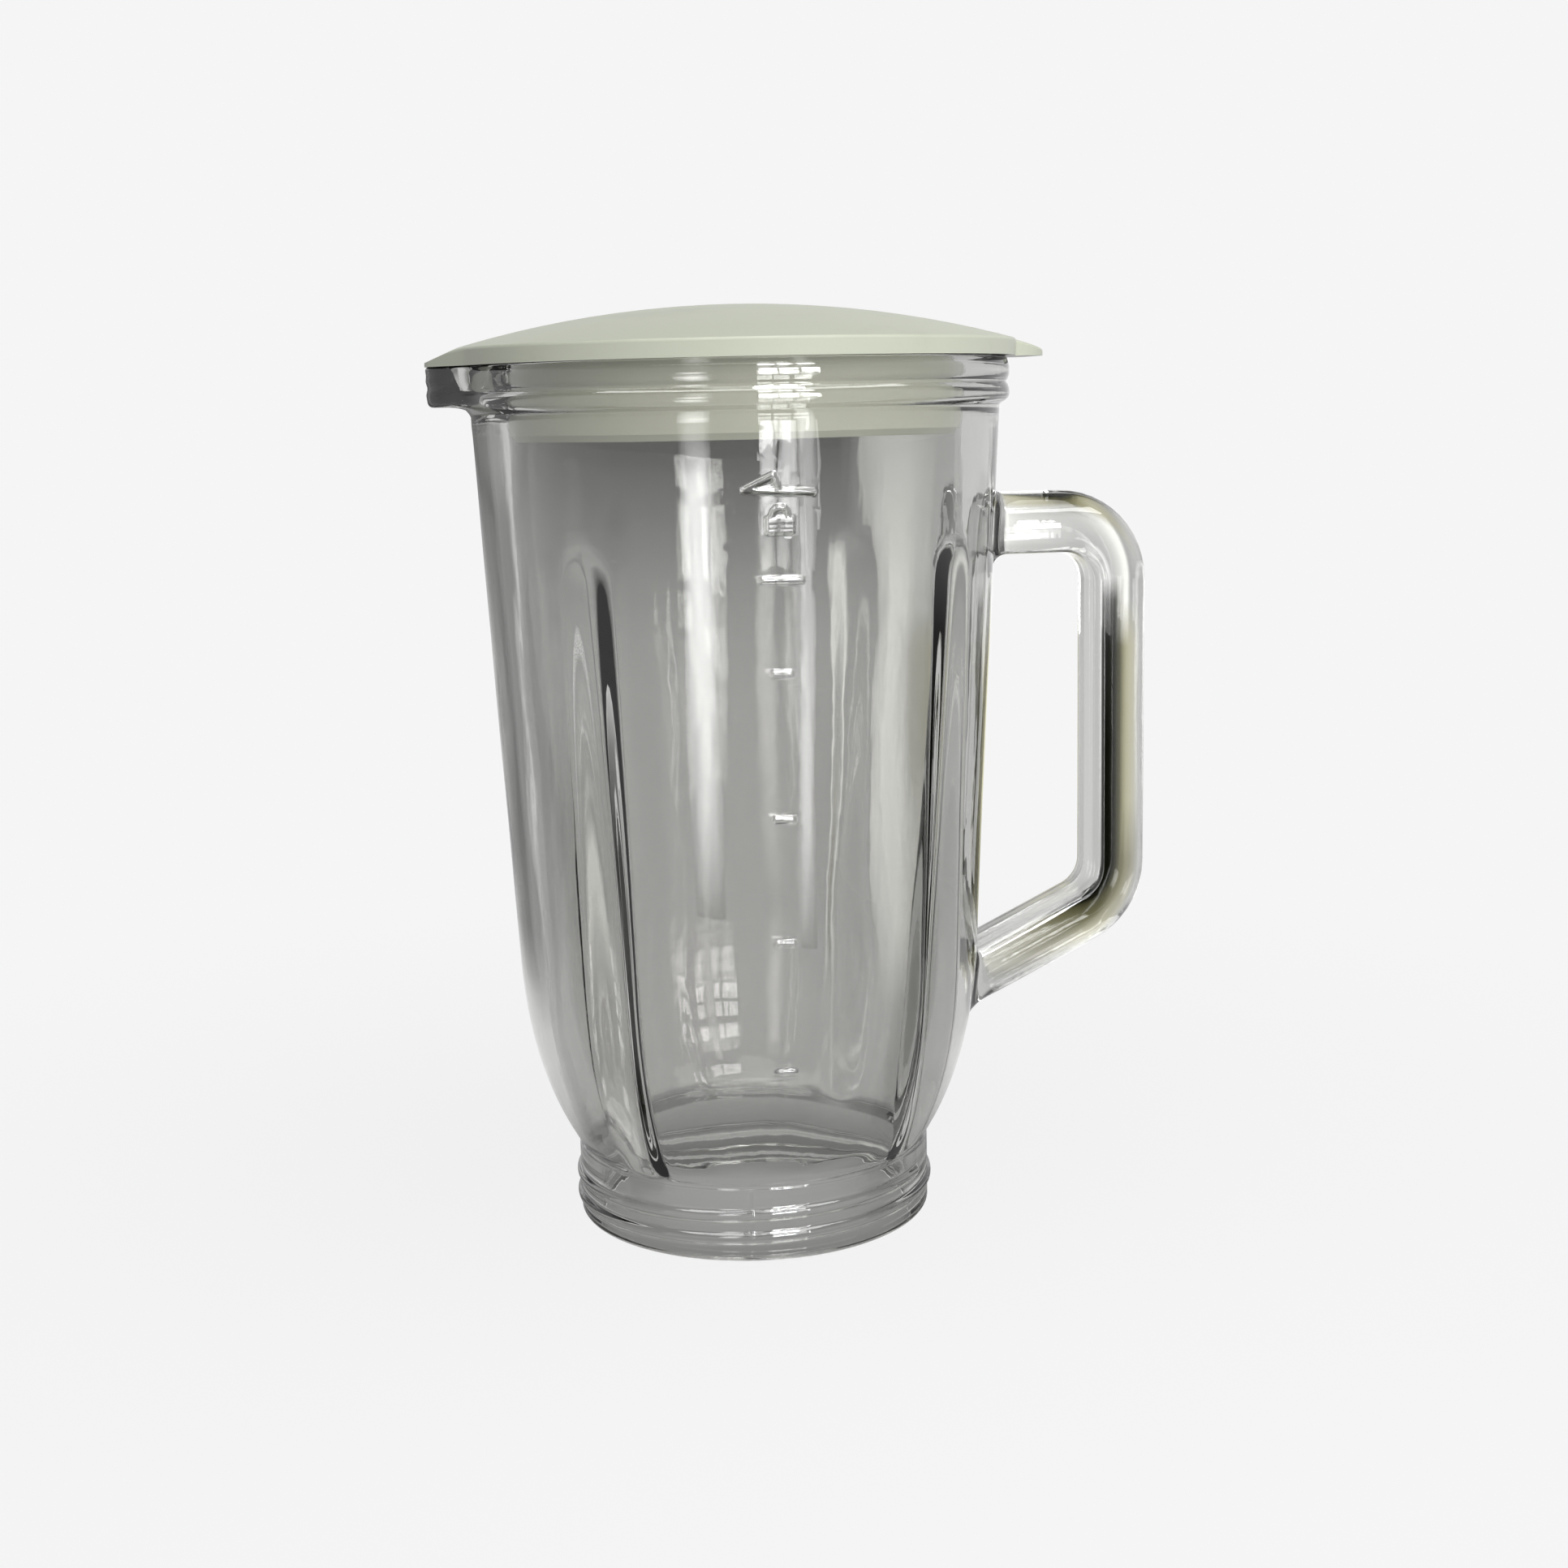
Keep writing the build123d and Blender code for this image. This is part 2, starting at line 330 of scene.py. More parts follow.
# Relief on the front: five level marks, an arrow and a padlock for the way it locks, and the
# seam of the mould on the collar. Each stroke has its ends, along the wall and up, its half
# width and how far it stands out.
front = -pi / 2
proud = 0.45
level_marks = [((-6.0, 152.4), (2.3, 152.2), 0.55, proud)]
level_marks += [((-3.7, z), (-0.2, z - 0.1), 0.62, proud) for z in (133.1, 102.4, 75.6, 46.7)]
arrow = [((-9.3, 170.6), (4.9, 169.9), 0.5, proud), ((-9.3, 170.6), (-3.4, 173.4), 0.5, proud),
         ((-3.4, 173.4), (-2.4, 171.0), 0.45, proud)]
padlock = [((-4.4, z), (0.4, z), 0.6, proud) for z in (162.2, 163.1, 164.0, 164.6)]
shackle = arc((-2.0, 165.4), 1.6, 0, 180, 7)
padlock += [(tuple(a), tuple(b), 0.42, proud) for a, b in zip(shackle, shackle[1:])]
mould_seam = [((-8.3, 1.4), (-8.3, 16.4), 0.12, 0.22)]
strokes = level_marks + arrow + padlock + mould_seam
stroke_flat = 0.6
stroke_shoulder = 0.2


def along_wall(radius, angle):
    """Distance round the wall from the middle of the front."""
    return radius * ((angle - front + pi) % (2 * pi) - pi)


def relief(radius, angle, z):
    """How far the strokes stand out of the wall at each point."""
    u = along_wall(radius, angle)
    stand_out = np.zeros_like(u)
    for (x0, y0), (x1, y1), half, height in strokes:
        dx, dy = x1 - x0, y1 - y0
        t = np.clip(((u - x0) * dx + (z - y0) * dy) / (dx * dx + dy * dy), 0, 1)
        off = np.hypot(u - x0 - t * dx, z - y0 - t * dy)
        edge = smooth(stroke_flat * half, half + stroke_shoulder, off)
        stand_out = np.maximum(stand_out, height * (1 - edge))
    return stand_out


# Cells of the grid under a stroke are divided by eight each way
fine = 8
stroke_margin = 0.35
front_half = 20
divided = np.zeros((row_count, column_count), bool)
u = along_wall(grid_radius[:outside_count], grid_angle[:outside_count])
u_left, u_right = u[:-1], np.roll(u, -1, axis=1)[:-1]
z_low, z_high = grid_z[:outside_count - 1], grid_z[1:outside_count]
for (x0, y0), (x1, y1), half, _ in strokes:
    near = half + stroke_margin
    divided[:outside_count - 1] |= (
        (np.abs(u_left) <= front_half) & (u_right > min(x0, x1) - near) & (u_left < max(x0, x1) + near)
        & (z_high > min(y0, y1) - near) & (z_low < max(y0, y1) + near))

# Cells under the two roots of the handle are left open
handle_width = 15.4
handle_flat = 6.5
handle_edge = 2.5
handle_bend = 13.5
handle_drop = 38.5
finger_gap = 23.7
elbow_height = 68.6
lower_arm_angle = radians(25)
lower_root_radius = 52.3
root_half_angle = radians(12.6)
grip_line = top_radius + finger_gap + handle_flat
arm_height = jar_height - handle_drop
lower_root = elbow_height - (grip_line - lower_root_radius) * tan(lower_arm_angle)
from_handle = (column_angle + pi) % (2 * pi) - pi
root_columns = [j for j in np.argsort(from_handle) if abs(from_handle[j]) < root_half_angle]


def wall_row(z):
    """The row of the outside that is nearest to a height."""
    return collar_end + int(np.argmin(np.abs(outside[collar_end:, 1] - z)))


# Each root: the height of its middle, and how far its opening reaches below and above that
root_spans = [(wall_row(middle - below), wall_row(middle + above))
              for middle, below, above in ((arm_height, 10.2, 11.4), (lower_root, 12.3, 11.0))]
root_rows = max(last - first for first, last in root_spans)
opened = np.zeros((row_count, column_count), bool)
for first, last in root_spans:
    opened[first:first + root_rows, root_columns[:-1]] = True


def place_of(radius, angle, z):
    """The point at a radius, angle and height."""
    return np.stack([radius * np.cos(angle), radius * np.sin(angle), z], -1)


raised = grid_radius.copy()
raised[:outside_count] += relief(
    grid_radius[:outside_count], grid_angle[:outside_count], grid_z[:outside_count])
points = list(place_of(raised, grid_angle, grid_z).reshape(-1, 3))
faces = []
fine_points = {}


def grid_point(k, j, p, q):
    """Index of the point p/fine up and q/fine along in the cell at row k and column j."""
    if p in (0, fine) and q in (0, fine):
        return (k + p // fine) % row_count * column_count + (j + q // fine) % column_count
    key = ((k * fine + p) % (row_count * fine), (j * fine + q) % (column_count * fine))
    if key not in fine_points:
        j2 = (j + 1) % column_count
        up, along = p / fine, q / fine
        radius, z = ((grid[k, j] * (1 - along) + grid[k, j2] * along) * (1 - up)
                     + (grid[k + 1, j] * (1 - along) + grid[k + 1, j2] * along) * up
                     for grid in (grid_radius, grid_z))
        angle = grid_angle[k, j] + (grid_angle[k, j2] - grid_angle[k, j]) % (2 * pi) * along
        fine_points[key] = len(points)
        points.append(place_of(radius + float(relief(radius, np.array(angle), z)), angle, z))
    return fine_points[key]


for k in range(row_count):
    for j in range(column_count):
        if opened[k, j]:
            continue
        if divided[k, j]:
            for p in range(fine):
                for q in range(fine):
                    faces.append([grid_point(k, j, p, q), grid_point(k, j, p, q + 1),
                                  grid_point(k, j, p + 1, q + 1), grid_point(k, j, p + 1, q)])
            continue
        below, above = divided[k - 1, j], divided[(k + 1) % row_count, j]
        left, right = divided[k, j - 1], divided[k, (j + 1) % column_count]
        outline = [grid_point(k, j, 0, q) for q in (range(fine) if below else [0])]
        outline += [grid_point(k, j, p, fine) for p in (range(fine) if right else [0])]
        outline += [grid_point(k, j, fine, q) for q in (range(fine, 0, -1) if above else [fine])]
        outline += [grid_point(k, j, p, 0) for p in (range(fine, 0, -1) if left else [fine])]
        faces.append(outline)

# Handle: a bent bar, half round outside and flat inside, in rings from the upper root to the lower
upper_fairing = 4.0
lower_fairing = 4.6
fairing_pull = 1.1
half_bar = handle_width / 2
flat_edge = half_bar - handle_edge
bar_half_height = (half_bar + handle_flat) / 2
bar_middle = (half_bar - handle_flat) / 2
arm_start = top_radius - (band_bottom - arm_height) * tan(outer_draft) + upper_fairing
bend_x = grip_line - handle_bend
low_turn = 90 - degrees(lower_arm_angle)
low_set_back = handle_bend * tan(radians(low_turn / 2))
low_bend = elbow_height + low_set_back
arm_line = [(x, arm_height, 0) for x in np.linspace(arm_start, bend_x, 5)]
arm_line += [(bend_x + handle_bend * sin(q), arm_height - handle_bend + handle_bend * cos(q), -q)
             for q in np.radians(np.linspace(0, 90, 13))[1:-1]]
arm_line += [(grip_line, z, -pi / 2) for z in np.linspace(arm_height - handle_bend, low_bend, 16)]
arm_line += [(bend_x + handle_bend * cos(q), low_bend - handle_bend * sin(q), -pi / 2 - q)
             for q in np.radians(np.linspace(0, low_turn, 10))[1:-1]]
low_start_x = grip_line - low_set_back * cos(lower_arm_angle)
arm_line += [(x, elbow_height - (grip_line - x) * tan(lower_arm_angle), -pi / 2 - radians(low_turn))
             for x in np.linspace(low_start_x, lower_root_radius + lower_fairing, 8)]
bar = np.concatenate([
    arc((0, 0), half_bar, 0, 180, 41),
    line((-half_bar, 0), (-half_bar, handle_edge - handle_flat), 12)[1:-1],
    arc((-flat_edge, handle_edge - handle_flat), handle_edge, 180, 270, 10),
    line((-flat_edge, -handle_flat), (flat_edge, -handle_flat), 30)[1:-1],
    arc((flat_edge, handle_edge - handle_flat), handle_edge, 270, 360, 10),
    line((half_bar, handle_edge - handle_flat), (half_bar, 0), 12)[1:-1],
])
bar_angle = np.arctan2(bar[:, 1] - bar_middle, bar[:, 0]) % (2 * pi)
bar_order = np.argsort(bar_angle)
bar_reach = np.hypot(bar[:, 0], bar[:, 1] - bar_middle)[bar_order]
bar_angle = bar_angle[bar_order]


def root_edge(first, outer_side_up):
    """Points round an opening from its +Y side, and where each one goes round the bar."""
    last = first + root_rows
    loop = [(first, j) for j in root_columns]
    loop += [(k, root_columns[-1]) for k in range(first + 1, last + 1)]
    loop += [(last, j) for j in root_columns[-2::-1]]
    loop += [(k, root_columns[0]) for k in range(last - 1, first, -1)]
    index = [k * column_count + j for k, j in loop]
    if not outer_side_up:
        index = index[::-1]
    at = np.array([points[i] for i in index])
    up = (at[:, 2] - (at[:, 2].max() + at[:, 2].min()) / 2) * (1 if outer_side_up else -1)
    turn = np.arctan2(up / up.max() * bar_half_height, at[:, 1] / np.abs(at[:, 1]).max() * half_bar)
    start = int(np.argmin(np.abs(turn)))
    turn = np.concatenate([turn[start:], turn[:start]]) % (2 * pi)
    turn[0] = (turn[0] + pi) % (2 * pi) - pi
    return index[start:] + index[:start], np.unwrap(turn)


def faired(edge, ring, along):
    """Rows from an opening's edge to the bar: they leave along the wall and arrive along the bar."""
    start = np.array([points[i] for i in edge])
    to_ring = ring - start
    pull = fairing_pull * np.linalg.norm(to_ring, axis=1, keepdims=True)
    normal = start * [1, 1, 0]
    normal = normal / np.linalg.norm(normal, axis=1, keepdims=True)
    flat = to_ring - (to_ring * normal).sum(1, keepdims=True) * normal
    flat = flat / np.maximum(np.linalg.norm(flat, axis=1, keepdims=True), 1e-9)
    leave, arrive = flat * pull, np.array(along) * pull
    return [(2 * t**3 - 3 * t**2 + 1) * start + (t**3 - 2 * t**2 + t) * leave
            + (3 * t**2 - 2 * t**3) * ring + (t**3 - t**2) * arrive for t in np.linspace(0, 1, 9)[1:-1]]


upper_edge, upper_turn = root_edge(root_spans[0][0], True)
lower_edge, lower_turn = root_edge(root_spans[1][0], False)
rings = []
for i, (x, z, heading) in enumerate(arm_line):
    t = i / (len(arm_line) - 1)
    turn = upper_turn * (1 - t) + lower_turn * t
    reach = np.interp(turn % (2 * pi), bar_angle, bar_reach, period=2 * pi)
    out = reach * np.sin(turn) + bar_middle
    rings.append(np.stack([x - out * sin(heading), reach * np.cos(turn), z + out * cos(heading)], 1))
upper_fillet = faired(upper_edge, rings[0], (1, 0, 0))
lower_fillet = faired(lower_edge, rings[-1], (cos(lower_arm_angle), 0, sin(lower_arm_angle)))
loops = [upper_edge]
for ring in upper_fillet + rings + lower_fillet[::-1]:
    loops.append(list(range(len(points), len(points) + len(ring))))
    points.extend(ring)
loops.append(lower_edge)
for one, two in zip(loops, loops[1:]):
    for i in range(len(one)):
        n = (i + 1) % len(one)
        faces.append([one[i], one[n], two[n], two[i]])


def put_in_scene(name, data):
    """An object of a mesh, a lamp or a camera, linked to the scene."""
    thing = bpy.data.objects.new(name, data)
    bpy.context.scene.collection.objects.link(thing)
    return thing


mm = 0.001
jar_mesh = bpy.data.meshes.new("jar_glass")
jar_mesh.from_pydata([tuple(point) for point in np.array(points) * mm], [], faces)
jar = put_in_scene("jar_glass", jar_mesh)

# Smooth shading with each normal weighted by the area of the faces round it
face_count = len(jar_mesh.polygons)
jar_mesh.polygons.foreach_set("use_smooth", np.ones(face_count, bool))
area = np.zeros(face_count)
jar_mesh.polygons.foreach_get("area", area)
facing = np.zeros(face_count * 3)
jar_mesh.polygons.foreach_get("normal", facing)
corners = np.zeros(face_count, int)
jar_mesh.polygons.foreach_get("loop_total", corners)
corner_point = np.zeros(len(jar_mesh.loops), int)
jar_mesh.loops.foreach_get("vertex_index", corner_point)
normals = np.zeros((len(jar_mesh.vertices), 3))
np.add.at(normals, corner_point, np.repeat(facing.reshape(-1, 3) * area[:, None], corners, axis=0))
jar_mesh.normals_split_custom_set_from_vertices(normals / np.linalg.norm(normals, axis=1, keepdims=True))


def linear(code):
    """An sRGB hex colour as the linear values that Blender works in."""
    parts = [int(code[i:i + 2], 16) / 255 for i in (1, 3, 5)]
    return tuple(c / 12.92 if c <= 0.04045 else ((c + 0.055) / 1.055) ** 2.4 for c in parts) + (1.0,)


def new_material(name):
    """A material of nodes, and its node tree."""
    material = bpy.data.materials.new(name)
    material.use_nodes = True
    return material, material.node_tree


def add_node(tree, kind, settings=None, sockets=None, **values):
    """Adds a node with its settings. A socket, by name or number, takes a link or else a value."""
    node = tree.nodes.new(kind)
    for name, value in (settings or {}).items():
        setattr(node, name, value)
    for name, value in values.items():
        node.inputs[name.replace("_", " ")].default_value = value
    for name, source in (sockets or {}).items():
        if isinstance(source, bpy.types.NodeSocket):
            tree.links.new(source, node.inputs[name])
        else:
            node.inputs[name].default_value = source
    return node


# Pressed soda-lime glass, fire polished: sharp reflections, and a grey that deepens where the glass
# is thick. The grey is deeper than clear glass has: it is painted shade, standing in for darker
# surroundings seen through the glass. Long shallow waves from the mould, about 4 mm across and
# 16 mm high, make straight reflections wander.
wave_width = 4 * mm
wave_height = 16 * mm
wave_depth = 0.03 * mm
soda_glass, tree = new_material("pressed_soda_lime_glass")
shader = tree.nodes["Principled BSDF"]
# Grey on each face: painted shade for darker surroundings seen through the glass
shader.inputs["Base Color"].default_value = linear("#CFCFCD")
shader.inputs["Roughness"].default_value = 0.0
shader.inputs["IOR"].default_value = 1.52
shader.inputs["Transmission Weight"].default_value = 1.0
tint = add_node(tree, "ShaderNodeVolumeAbsorption", Color=linear("#8C908A"), Density=7.0)
tree.links.new(tint.outputs[0], tree.nodes["Material Output"].inputs["Volume"])
coords = add_node(tree, "ShaderNodeTexCoord")
stretched = add_node(tree, "ShaderNodeMapping", None, {"Vector": coords.outputs["Object"]},
                     Scale=(1 / wave_width, 1 / wave_width, 1 / wave_height))
waves = add_node(tree, "ShaderNodeTexNoise", None, {"Vector": stretched.outputs[0]},
                 Scale=1.0, Detail=2.0, Roughness=0.45)
bump = add_node(tree, "ShaderNodeBump", None, {"Height": waves.outputs[0]},
                Strength=1.0, Distance=wave_depth)
tree.links.new(bump.outputs[0], shader.inputs["Normal"])
jar_mesh.materials.append(soda_glass)

# Clear glass lets the lamps through to the lid's skirt
jar.visible_shadow = False
jar.visible_diffuse = False
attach(jar, "root")
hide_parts("glass_jar")

# ---------------------------------------------------------------------------------------------
# Lid: a low dome with a beak over the lip, a thumb tab, and a skirt that plugs the mouth. It is
# moulded in ivory polyethylene and only pushed in, and its top is dulled by years of hands.

# Polyethylene from a fine-grained mould: a soft waxy gloss. The grain is really about 0.3 mm and
# is drawn at 1.2 mm to show. The skirt is a lighter ivory than the top, and the top has greyed
# unevenly, in smudges about 22 mm across. Faces above the rim that look down, the flange's
# underside, are painted near black: painted shade under the flange. In a colour Mix, socket 0 is
# the share and 6 and 7 are the two colours.
grain_drawn = 1.2 * mm
grain_depth = 0.06 * mm
smudge_size = 22 * mm
skirt_top = 0.1935
flange_bottom = 0.1965
skirt_colour = linear("#E2E4D1")
top_colour = linear("#C2C6B5")
smudge_colour = linear("#A6A999")
# Near black: painted shade for the flange's underside
painted_shade_colour = linear("#2C2D24")
ivory, tree = new_material("moulded_ivory_polyethylene")
shader = tree.nodes["Principled BSDF"]
shader.inputs["Roughness"].default_value = 0.38
coords = add_node(tree, "ShaderNodeTexCoord")
axes = add_node(tree, "ShaderNodeSeparateXYZ", None, {"Vector": coords.outputs["Object"]})
above_rim = add_node(tree, "ShaderNodeMapRange", None, {"Value": axes.outputs["Z"]},
                     From_Min=skirt_top, From_Max=flange_bottom)
shape = add_node(tree, "ShaderNodeNewGeometry")
slopes = add_node(tree, "ShaderNodeSeparateXYZ", None, {"Vector": shape.outputs["Normal"]})
# Faces above the rim that look down, the flange's underside, get the painted shade
underside_shade = add_node(tree, "ShaderNodeMapRange", None, {"Value": slopes.outputs["Z"]},
                From_Min=-0.95, From_Max=-0.6, To_Min=1.0, To_Max=0.0)
smudges = add_node(tree, "ShaderNodeTexNoise", None, {"Vector": coords.outputs["Object"]},
                   Scale=1 / smudge_size, Detail=5.0, Roughness=0.62)
smudged = add_node(tree, "ShaderNodeMapRange", {"interpolation_type": "SMOOTHSTEP"},
                   {"Value": smudges.outputs[0]}, From_Min=0.52, From_Max=0.74, To_Max=0.22)
top = add_node(tree, "ShaderNodeMix", {"data_type": "RGBA"},
               {0: smudged.outputs[0], 6: top_colour, 7: smudge_colour})
flange = add_node(tree, "ShaderNodeMix", {"data_type": "RGBA"},
                  {0: underside_shade.outputs[0], 6: top.outputs[2], 7: painted_shade_colour})
whole = add_node(tree, "ShaderNodeMix", {"data_type": "RGBA"},
                 {0: above_rim.outputs[0], 6: skirt_colour, 7: flange.outputs[2]})
tree.links.new(whole.outputs[2], shader.inputs["Base Color"])
grain = add_node(tree, "ShaderNodeTexNoise", None, {"Vector": coords.outputs["Object"]},
                 Scale=1 / grain_drawn, Detail=3.0)
bump = add_node(tree, "ShaderNodeBump", None, {"Height": grain.outputs[0]},
                Strength=0.5, Distance=grain_depth)
tree.links.new(bump.outputs[0], shader.inputs["Normal"])
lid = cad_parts["lid"]
lid.data.materials.clear()
lid.data.materials.append(ivory)

# ---------------------------------------------------------------------------------------------
# Camera: half a metre off, a little to the left of the front and just below the rim's height. It
# is tipped down and turned slightly off level, as one held by hand is.

photo_side = 1932
focal_px = 2690
sensor_width = 36
stand_off = 0.500
eye_height = 0.1885
eye_turn = radians(-10.3)
aim = eye_turn + radians(-1.04)
tip_down = radians(10.0)
roll = radians(-1.25)
eye = Vector((stand_off * sin(eye_turn), -stand_off * cos(eye_turn), eye_height))
ahead = Vector((-sin(aim) * cos(tip_down), cos(aim) * cos(tip_down), -sin(tip_down)))
level = Vector((cos(aim), sin(aim), 0))
upright = level.cross(ahead)
view_right = level * cos(roll) + upright * sin(roll)
view_up = upright * cos(roll) - level * sin(roll)
camera_data = bpy.data.cameras.new("camera")
camera_data.sensor_width = sensor_width
camera_data.lens = sensor_width * focal_px / photo_side
camera_data.clip_start = 0.01
camera = put_in_scene("camera", camera_data)
camera.matrix_world = Matrix((
    (view_right.x, view_up.x, -ahead.x, eye.x),
    (view_right.y, view_up.y, -ahead.y, eye.y),
    (view_right.z, view_up.z, -ahead.z, eye.z),
    (0, 0, 0, 1),
))
bpy.context.scene.camera = camera
bpy.context.scene.view_settings.view_transform = "Standard"

# ---------------------------------------------------------------------------------------------
# Floor: a white-painted board, just under the jar's foot. Near the jar it takes the lid's soft
# shadow, and further off it has the backdrop's own pale tone, so no horizon shows.

# Matt white paint: one even tone with no gloss, part of it real paint near the jar
pale = linear("#F5F5F5")
floor_half = 6.0
floor_gap = 0.0002
fade_start = 0.06
fade_end = 0.36
pale_share = 0.88
floor_mesh = bpy.data.meshes.new("floor")
floor_mesh.from_pydata([(-floor_half, -floor_half, 0), (floor_half, -floor_half, 0),
                        (floor_half, floor_half, 0), (-floor_half, floor_half, 0)], [], [(0, 1, 2, 3)])
floor = put_in_scene("floor", floor_mesh)
floor.location.z = -floor_gap
board, tree = new_material("white_painted_board")
tree.nodes.remove(tree.nodes["Principled BSDF"])
ground = add_node(tree, "ShaderNodeNewGeometry")
distance = add_node(tree, "ShaderNodeVectorMath", {"operation": "LENGTH"}, {0: ground.outputs["Position"]})
fade = add_node(tree, "ShaderNodeMapRange", {"interpolation_type": "SMOOTHSTEP"},
                {"Value": distance.outputs["Value"]},
                From_Min=fade_start, From_Max=fade_end, To_Min=pale_share)
paint = add_node(tree, "ShaderNodeBsdfDiffuse", Color=linear("#F3F3F3"))
glow = add_node(tree, "ShaderNodeEmission", Color=pale, Strength=1.0)
surface = add_node(tree, "ShaderNodeMixShader", None,
                   {0: fade.outputs["Result"], 1: paint.outputs[0], 2: glow.outputs[0]})
tree.links.new(surface.outputs[0], tree.nodes["Material Output"].inputs["Surface"])
floor_mesh.materials.append(board)
floor.visible_diffuse = False

# ---------------------------------------------------------------------------------------------
# Backdrop: pale all round and dim overhead, as the eye and the glass see it. As light it is a
# plain grey.

world = bpy.data.worlds.new("studio")
bpy.context.scene.world = world
world.use_nodes = True
tree = world.node_tree
path = add_node(tree, "ShaderNodeLightPath")
seen = add_node(tree, "ShaderNodeMath", {"operation": "MAXIMUM"},
                {0: path.outputs["Is Camera Ray"], 1: path.outputs["Is Glossy Ray"]})
seen = add_node(tree, "ShaderNodeMath", {"operation": "MAXIMUM"},
                {0: seen.outputs[0], 1: path.outputs["Is Transmission Ray"]})
coords = add_node(tree, "ShaderNodeTexCoord")
axes = add_node(tree, "ShaderNodeSeparateXYZ", None, {"Vector": coords.outputs["Generated"]})
overhead = add_node(tree, "ShaderNodeMapRange", {"interpolation_type": "SMOOTHSTEP"},
                    {"Value": axes.outputs["Z"]}, From_Min=0.30, From_Max=0.55)
shown = add_node(tree, "ShaderNodeMix", {"data_type": "RGBA"},
                 {0: overhead.outputs["Result"], 6: pale, 7: linear("#303430")})
sky = add_node(tree, "ShaderNodeMix", {"data_type": "RGBA"},
               {0: seen.outputs[0], 6: linear("#898989"), 7: shown.outputs[2]})
tree.links.new(sky.outputs[2], tree.nodes["Background"].inputs["Color"])

# ---------------------------------------------------------------------------------------------
# Lamps: a large soft box overhead for the lid, and a low one in front that reaches the skirt
# under the lid's edge.

jar_middle = 0.1
lamp_distance = 0.9


def soft_box(name, azimuth, elevation, width, height, radiance):
    """A soft lamp aimed at the jar's middle, in degrees and metres; radiance 1 is as white paper."""
    data = bpy.data.lights.new(name, "AREA")
    data.shape = "RECTANGLE"
    data.size = width
    data.size_y = height
    data.energy = radiance * pi * width * height
    lamp = put_in_scene(name, data)
    a, e = radians(azimuth), radians(elevation)
    way = Vector((cos(a) * cos(e), sin(a) * cos(e), sin(e)))
    lamp.location = Vector((0, 0, jar_middle)) + lamp_distance * way
    lamp.rotation_euler = way.to_track_quat("Z", "Y").to_euler()
    return lamp


soft_box("top_box", -75, 75, 0.7, 0.7, 3.2)
front_box = soft_box("front_box", -77, 13, 0.5, 0.35, 10.2)
front_box.visible_glossy = False
front_box.visible_transmission = False

# ---------------------------------------------------------------------------------------------
# Windows: tall bright panes in front, left and right, and a narrow band above them. Only the
# sharp reflections in the glass show them: the two streaks on the wall, the patches low on the
# back wall, and the lines along the rim and the thread.

pane_distance = 0.9
strip_distance = 0.256
pane_rows = 5


def sheet(parts, rows_of_points, **values):
    """Adds a sheet through rows of points to a mesh in the making, with a row of values for each."""
    base, wide = len(parts["points"]), len(rows_of_points[0])
    for row in rows_of_points:
        parts["points"].extend(row)
    for name, rows_of_values in values.items():
        for row in rows_of_values:
            parts[name].extend(row)
    for i in range(len(rows_of_points) - 1):
        for j in range(wide - 1):
            q = base + i * wide + j
            parts["faces"].append((q, q + 1, q + 1 + wide, q + wide))


# Panes far off: the spans that they take sideways and upwards, in degrees, and how each row shines
panes = {"points": [], "faces": [], "shine": []}
soft_edge = np.array([0.3, 0.85, 1, 0.85, 0.3])
window_spans = ((-91, -84), (-83, -76), (-75, -67))
window_rises = ((-4, 1.5), (2.3, 5.5), (6.3, 10), (12, 17), (30, 37), (46, 60))
window_shines = (11, 60, 55, 60, 30, 90)
for spans, rises, shines, edge in (
        (window_spans, window_rises, window_shines, soft_edge),
        (((-123, -111),), ((-4, 10),), (9,), soft_edge),
        (((-165, -15),), ((40, 50),), (8,), np.ones(31))):
    for first, last in spans:
        for (low, high), shine in zip(rises, shines):
            turns = np.radians(np.linspace(first, last, len(edge)))
            climbs = np.radians(np.linspace(low, high, pane_rows))
            sheet(panes, [[(pane_distance * cos(a) * cos(e), pane_distance * sin(a) * cos(e),
                            jar_middle + pane_distance * sin(e)) for a in turns] for e in climbs],
                  shine=[shine * edge] * pane_rows)

# Strips near by: a height and how it shines there, from the foot up
left_strip = ((0.015, 0), (0.03, 2.5), (0.047, 5), (0.083, 8), (0.115, 9.5), (0.148, 10), (0.158, 4),
              (0.19, 3))
right_strip = ((0.004, 0), (0.02, 3), (0.047, 6), (0.083, 7), (0.115, 6.6), (0.16, 7.5), (0.19, 8))
for first, last, strip in ((-122.5, -110, left_strip), (-77.6, -71, right_strip)):
    turns = np.radians(np.linspace(first, last, len(soft_edge)))
    sheet(panes, [[(strip_distance * cos(a), strip_distance * sin(a), z) for a in turns] for z, _ in strip],
          shine=[shine * soft_edge for _, shine in strip])
window_mesh = bpy.data.meshes.new("windows")
window_mesh.from_pydata(panes["points"], [], panes["faces"])
window_mesh.attributes.new("shine", "FLOAT", "POINT").data.foreach_set("value", panes["shine"])
windows = put_in_scene("windows", window_mesh)

